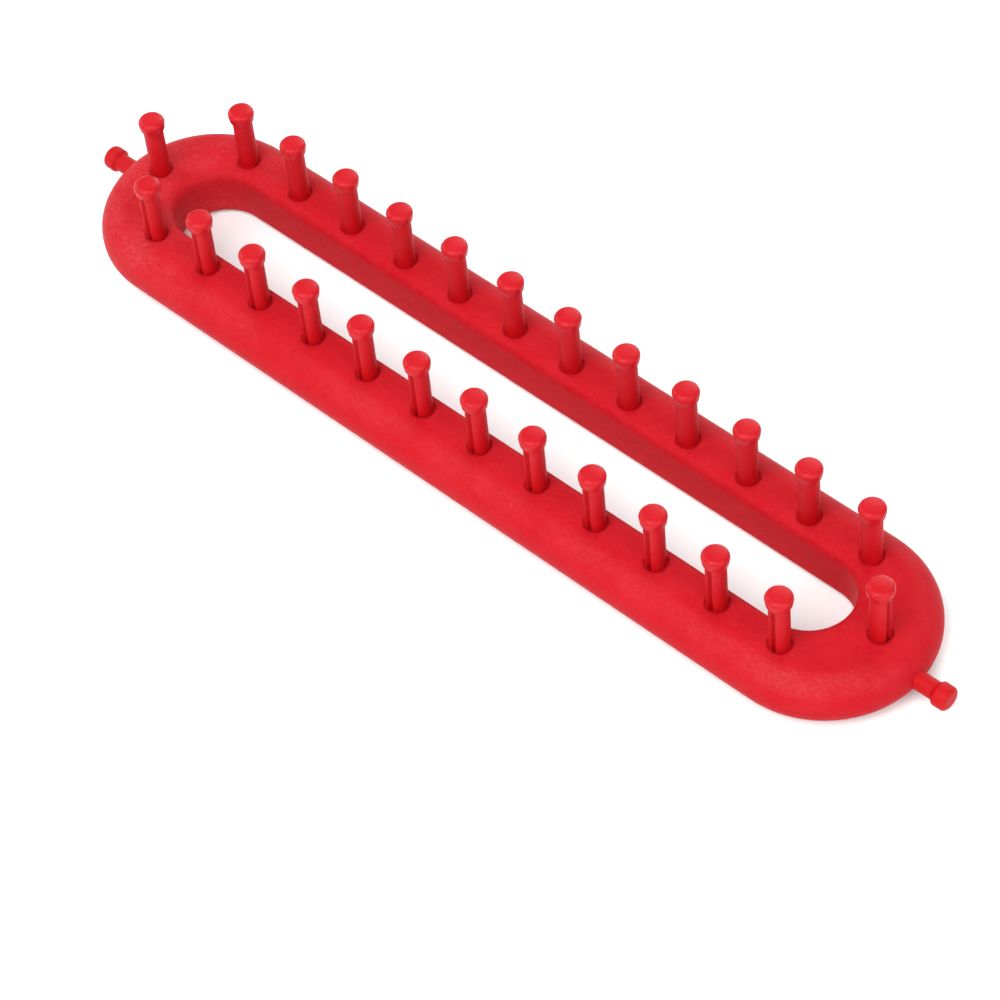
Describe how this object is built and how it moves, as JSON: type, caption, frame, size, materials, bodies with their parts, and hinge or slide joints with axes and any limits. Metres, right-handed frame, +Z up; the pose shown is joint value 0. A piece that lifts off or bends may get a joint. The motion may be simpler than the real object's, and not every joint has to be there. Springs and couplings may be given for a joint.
{
  "type": "knitting loom",
  "caption": "Long peg loom: a slim racetrack-shaped plastic frame around a long slot, with rows of upright headed pegs and an anchor peg at each end for tying off yarn.",
  "frame": {"origin": "centre of the flat underside, which is the middle of the bounding box's bottom", "axes": "+X along the frame towards the right-hand anchor peg, +Y across it towards the far row of pegs, +Z up along the pegs"},
  "size_m": [0.283, 0.0564, 0.0331],
  "materials": {
    "frame_plastic": "satin, very lightly textured",
    "peg_plastic": "smooth gloss"
  },
  "bodies": {
    "root": {"upper_shell": "frame_plastic", "lower_shell": "frame_plastic", "peg_far_01": "peg_plastic", "peg_far_02": "peg_plastic", "peg_far_03": "peg_plastic", "peg_far_04": "peg_plastic", "peg_far_05": "peg_plastic", "peg_far_06": "peg_plastic", "peg_far_07": "peg_plastic", "peg_far_08": "peg_plastic", "peg_far_09": "peg_plastic", "peg_far_10": "peg_plastic", "peg_far_11": "peg_plastic", "peg_far_12": "peg_plastic", "peg_near_01": "peg_plastic", "peg_near_02": "peg_plastic", "peg_near_03": "peg_plastic", "peg_near_04": "peg_plastic", "peg_near_05": "peg_plastic", "peg_near_06": "peg_plastic", "peg_near_07": "peg_plastic", "peg_near_08": "peg_plastic", "peg_near_09": "peg_plastic", "peg_near_10": "peg_plastic", "peg_near_11": "peg_plastic", "peg_near_12": "peg_plastic", "peg_end_left": "peg_plastic", "peg_end_right": "peg_plastic", "anchor_left": "peg_plastic", "anchor_right": "peg_plastic"}
  },
  "joints": []
}
